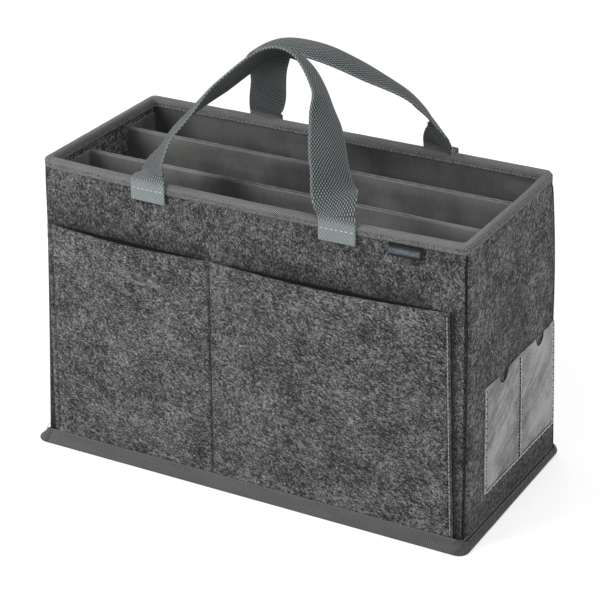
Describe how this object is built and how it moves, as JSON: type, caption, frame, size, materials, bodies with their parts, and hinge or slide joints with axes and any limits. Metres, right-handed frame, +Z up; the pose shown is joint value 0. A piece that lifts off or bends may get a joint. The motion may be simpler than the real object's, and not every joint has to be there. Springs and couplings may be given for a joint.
{
  "type": "felt box bag",
  "caption": "Open rectangular felt box bag with sewn-in dividers, a felt front pocket, a card pocket on the end and webbing handles that swing over the rim.",
  "frame": {"origin": "middle of the footprint, on the underside of the base", "axes": "+X along the length towards the end with the card pocket, +Z up, -Y towards the front pocket"},
  "size_m": [0.4098, 0.1999, 0.3794],
  "materials": {
    "felt": "mottled dark grey pressed felt",
    "pocket_felt": "mottled mid grey pressed felt",
    "tape": "ribbed grey binding tape",
    "cloth": "smooth dark grey lining cloth with a slight sheen",
    "board": "plain stiffening board",
    "webbing": "grey woven webbing",
    "leatherette": "fine-grained light grey leatherette",
    "label": "smooth black woven label"
  },
  "bodies": {
    "case": {"base_felt_panel": "felt", "base_board": "board", "base_lining": "cloth", "front_felt_panel": "felt", "back_felt_panel": "felt", "left_felt_panel": "felt", "right_felt_panel": "felt", "front_wall_lining": "cloth", "back_wall_lining": "cloth", "rim_binding": "tape", "base_binding": "tape", "front_divider_board": "board", "front_divider_cover": "cloth", "back_divider_board": "board", "back_divider_cover": "cloth", "front_pocket_panel": "pocket_felt", "card_pocket_sheet": "leatherette", "label_loop": "label", "front_handle_left_end": "webbing", "front_handle_right_end": "webbing", "back_handle_left_end": "webbing", "back_handle_right_end": "webbing"},
    "front_handle": {"front_handle_strap": "webbing"},
    "back_handle": {"back_handle_strap": "webbing"}
  },
  "joints": [
    {"name": "front_handle_swing", "type": "hinge", "parent": "case", "child": "front_handle", "pos_m": [0, -0.0939, 0.266], "axis": [1, 0, 0], "range_deg": [0, 170]},
    {"name": "back_handle_swing", "type": "hinge", "parent": "case", "child": "back_handle", "pos_m": [0, 0.0891, 0.266], "axis": [-1, 0, 0], "range_deg": [0, 170]}
  ]
}
